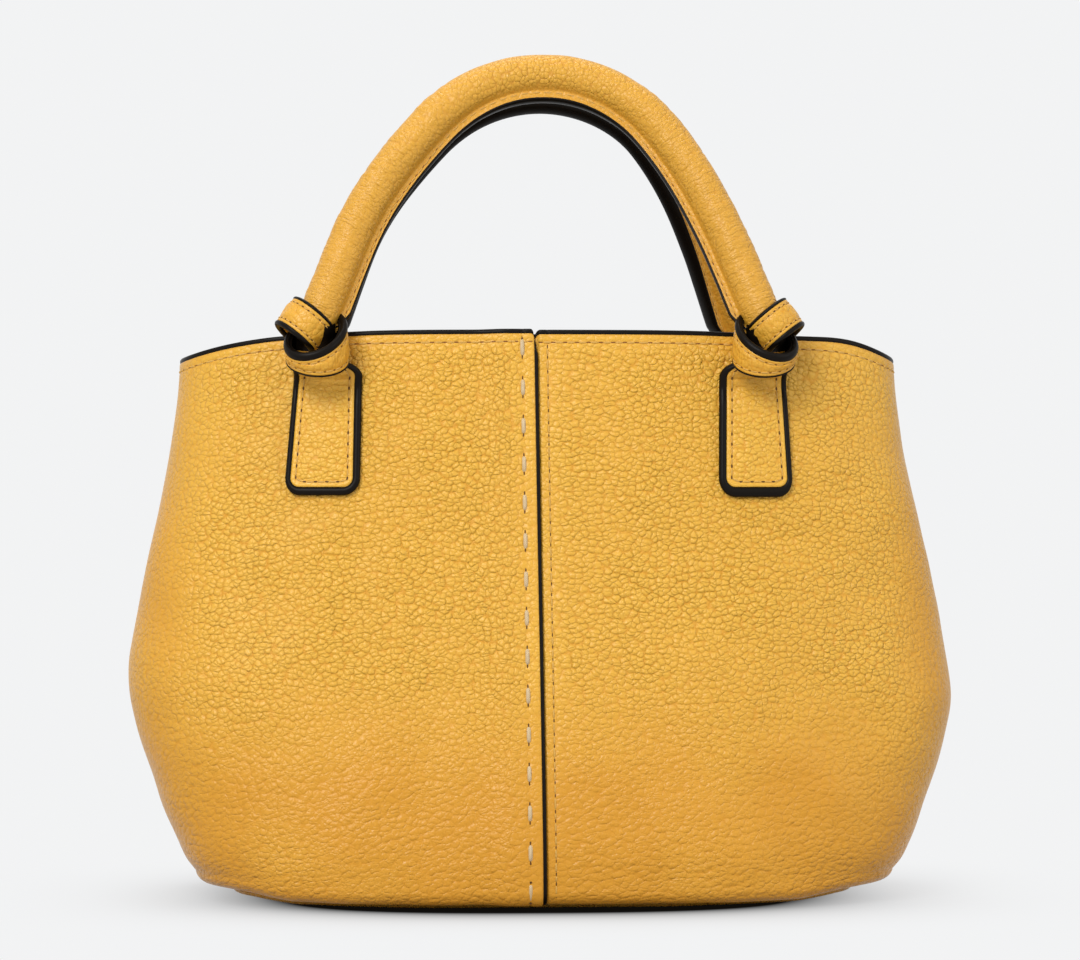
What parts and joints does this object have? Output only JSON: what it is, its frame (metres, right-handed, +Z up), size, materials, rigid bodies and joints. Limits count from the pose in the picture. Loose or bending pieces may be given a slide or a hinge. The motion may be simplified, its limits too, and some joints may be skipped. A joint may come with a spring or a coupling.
{
  "type": "top handle bag",
  "caption": "Soft leather top handle bag with lapped centre seams, painted edges, rolled swinging handles tied in knots over sewn tabs, lined open compartment.",
  "frame": {"origin": "bottom centre of the bag, on the surface it stands on", "axes": "+X to the right seen from the front, +Y from front to back, +Z up; the front is at -Y"},
  "size_m": [0.28, 0.1246, 0.2837],
  "materials": {
    "body_leather": "mustard yellow pebbled grain leather, satin",
    "handle_leather": "mustard yellow pebbled grain leather with fine cross wrinkles, satin",
    "facing_leather": "mustard yellow leather, smoother than the outside",
    "edge_paint": "near black thick edge paint, satin",
    "lining_cloth": "plain woven cotton twill",
    "thick_thread": "cream waxed thread",
    "stiffener_board": "pressed fibre board and woven tape",
    "core_foam": "soft cotton and foam cord",
    "snap_metal": "light gold plated"
  },
  "bodies": {
    "bag": {"front_left_panel": "body_leather", "front_right_panel": "body_leather", "back_left_panel": "body_leather", "back_right_panel": "body_leather", "base_panel": "body_leather", "base_board": "stiffener_board", "front_lining": "lining_cloth", "back_lining": "lining_cloth", "base_lining": "lining_cloth", "front_facing": "facing_leather", "back_facing": "facing_leather", "front_rim_edge": "edge_paint", "back_rim_edge": "edge_paint", "front_seam_tape": "stiffener_board", "back_seam_tape": "stiffener_board", "front_saddle_stitches": "thick_thread", "back_saddle_stitches": "thick_thread", "front_left_tab": "body_leather", "front_right_tab": "body_leather", "back_left_tab": "body_leather", "back_right_tab": "body_leather", "front_left_patch": "stiffener_board", "front_right_patch": "stiffener_board", "back_left_patch": "stiffener_board", "back_right_patch": "stiffener_board", "snap_stud": "snap_metal", "snap_socket": "snap_metal"},
    "front_handle": {"front_handle_cover": "handle_leather", "front_handle_core": "core_foam", "front_left_knot": "handle_leather", "front_right_knot": "handle_leather"},
    "back_handle": {"back_handle_cover": "handle_leather", "back_handle_core": "core_foam", "back_left_knot": "handle_leather", "back_right_knot": "handle_leather"}
  },
  "joints": [
    {"name": "front_handle_swing", "type": "hinge", "parent": "bag", "child": "front_handle", "pos_m": [0, -0.0391, 0.1733], "axis": [1, 0, 0], "range_deg": [-4, 80]},
    {"name": "back_handle_swing", "type": "hinge", "parent": "bag", "child": "back_handle", "pos_m": [0, 0.0391, 0.1733], "axis": [-1, 0, 0], "range_deg": [-4, 80]}
  ]
}
